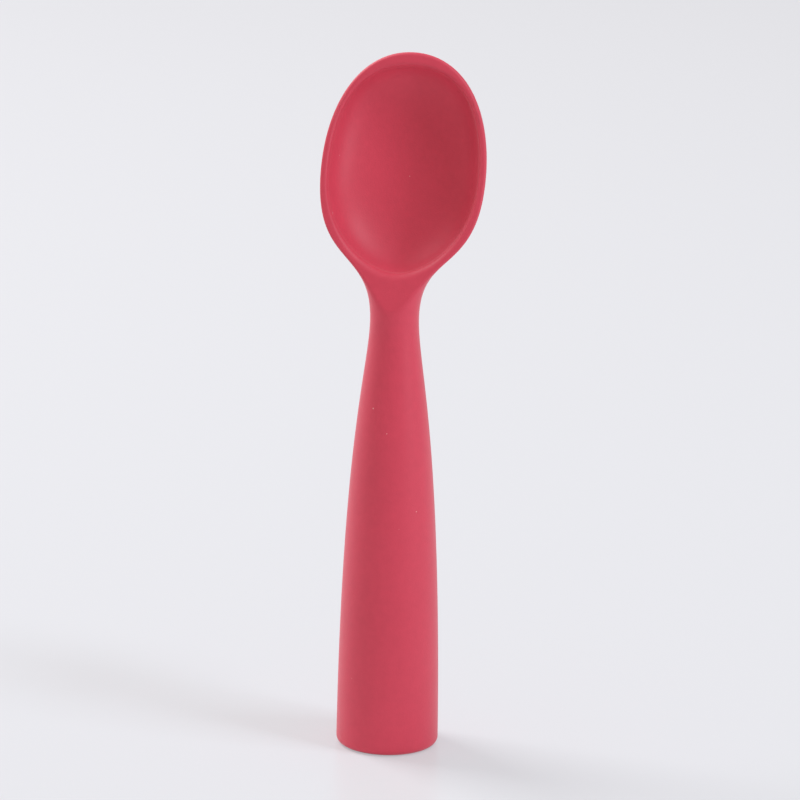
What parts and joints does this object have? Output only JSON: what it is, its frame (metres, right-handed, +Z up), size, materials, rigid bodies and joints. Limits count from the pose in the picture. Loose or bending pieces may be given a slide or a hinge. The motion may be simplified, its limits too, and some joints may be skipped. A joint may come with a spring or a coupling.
{
  "type": "baby spoon",
  "caption": "Short self-feeding baby spoon: soft over-moulded bowl and fat round grip on a stiff core, standing on its flat foot.",
  "frame": {"origin": "centre of the flat foot, on the surface it stands on", "axes": "+Z up the grip towards the bowl's tip, -Y out of the front of the dish, +X to the right of someone facing the dish"},
  "size_m": [0.0264, 0.0244, 0.11],
  "materials": {
    "silicone": "matte coral-red silicone",
    "core_plastic": "natural off-white moulded plastic",
    "plug_silicone": "matte coral-red silicone"
  },
  "bodies": {
    "root": {"over_mould": "silicone", "core": "core_plastic", "base_plug": "plug_silicone"}
  },
  "joints": []
}
